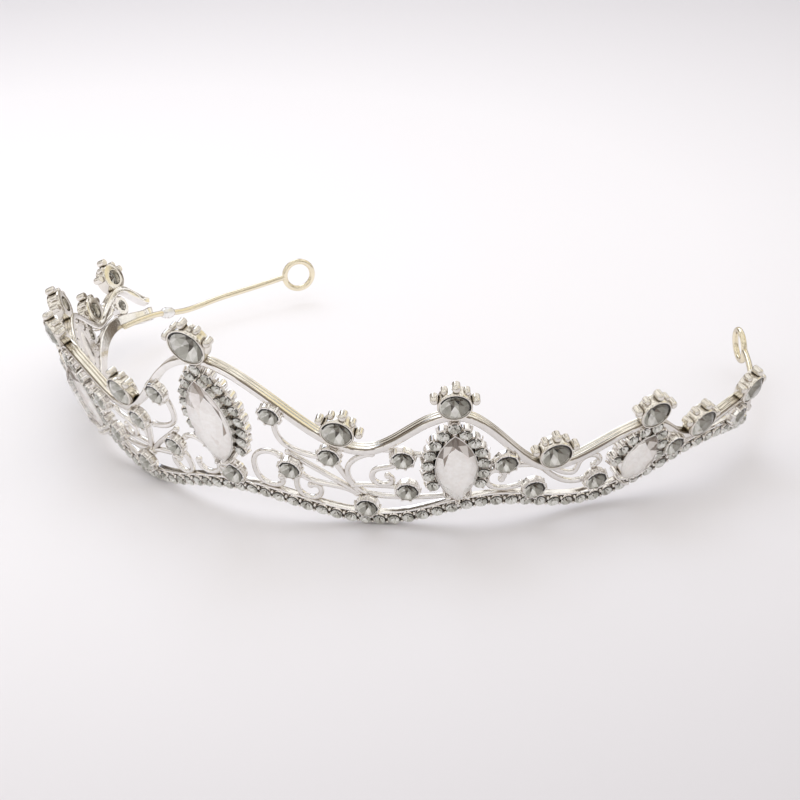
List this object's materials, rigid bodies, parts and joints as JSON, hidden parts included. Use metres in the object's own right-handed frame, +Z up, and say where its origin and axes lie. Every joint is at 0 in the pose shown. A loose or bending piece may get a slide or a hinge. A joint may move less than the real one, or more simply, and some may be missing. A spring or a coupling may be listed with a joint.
{
  "type": "bridal tiara",
  "caption": "Bridal tiara: a wavy jewelled frame of pointed crystals, round stones and scrollwork that sits over the head on two wires ending in pin eyes.",
  "frame": {"origin": "on the resting plane, under the middle of the whole piece", "axes": "+Z up, -Y towards the front, +Y towards the open side between the wire eyes, +X to the right when seen from the front"},
  "size_m": [0.1466, 0.1104, 0.0407],
  "materials": {
    "silver_plate": "bright silver plate over cast white metal",
    "pale_gold_wire": "drawn wire, worn pale gold tone",
    "solder": "soft solder, dull silver",
    "grey_crystal": "faceted grey foiled crystal",
    "clear_crystal": "faceted clear foiled crystal"
  },
  "bodies": {
    "root": {"base_rail": "silver_plate", "base_rail_stones": "grey_crystal", "crest_rail": "silver_plate", "drop_cup": "silver_plate", "drop_stone": "grey_crystal", "end_wire_left": "pale_gold_wire", "end_wire_right": "pale_gold_wire", "foot_cups": "silver_plate", "foot_stones": "grey_crystal", "halo_stones_centre": "grey_crystal", "halo_stones_inner_left": "grey_crystal", "halo_stones_inner_right": "grey_crystal", "halo_stones_outer_left": "grey_crystal", "halo_stones_outer_right": "grey_crystal", "navette_setting_centre": "silver_plate", "navette_setting_inner_left": "silver_plate", "navette_setting_inner_right": "silver_plate", "navette_setting_outer_left": "silver_plate", "navette_setting_outer_right": "silver_plate", "navette_stone_centre": "clear_crystal", "navette_stone_inner_left": "clear_crystal", "navette_stone_inner_right": "clear_crystal", "navette_stone_outer_left": "clear_crystal", "navette_stone_outer_right": "clear_crystal", "peak_crown_centre": "silver_plate", "peak_crown_end_left": "silver_plate", "peak_crown_end_right": "silver_plate", "peak_crown_inner_left": "silver_plate", "peak_crown_inner_right": "silver_plate", "peak_crown_outer_left": "silver_plate", "peak_crown_outer_right": "silver_plate", "peak_crown_stones": "grey_crystal", "side_cups": "silver_plate", "side_stones": "grey_crystal", "solder_sleeve_left": "solder", "solder_sleeve_right": "solder", "strand_bridge": "silver_plate", "strand_centre_scroll": "silver_plate", "strand_diagonal": "silver_plate", "strand_drop": "silver_plate", "strand_inner_curl": "silver_plate", "strand_outer_band": "silver_plate", "strand_outer_curl": "silver_plate", "strand_rail_curl": "silver_plate", "strand_return_band": "silver_plate", "strand_return_curl": "silver_plate", "strand_stem": "silver_plate", "strand_swoop": "silver_plate", "strand_tail_curl": "silver_plate", "strand_tie": "silver_plate", "strand_wide_loop": "silver_plate", "valley_crown_end_left": "silver_plate", "valley_crown_end_right": "silver_plate", "valley_crown_inner_left": "silver_plate", "valley_crown_inner_right": "silver_plate", "valley_crown_outer_left": "silver_plate", "valley_crown_outer_right": "silver_plate", "valley_crown_stones": "grey_crystal"}
  },
  "joints": []
}
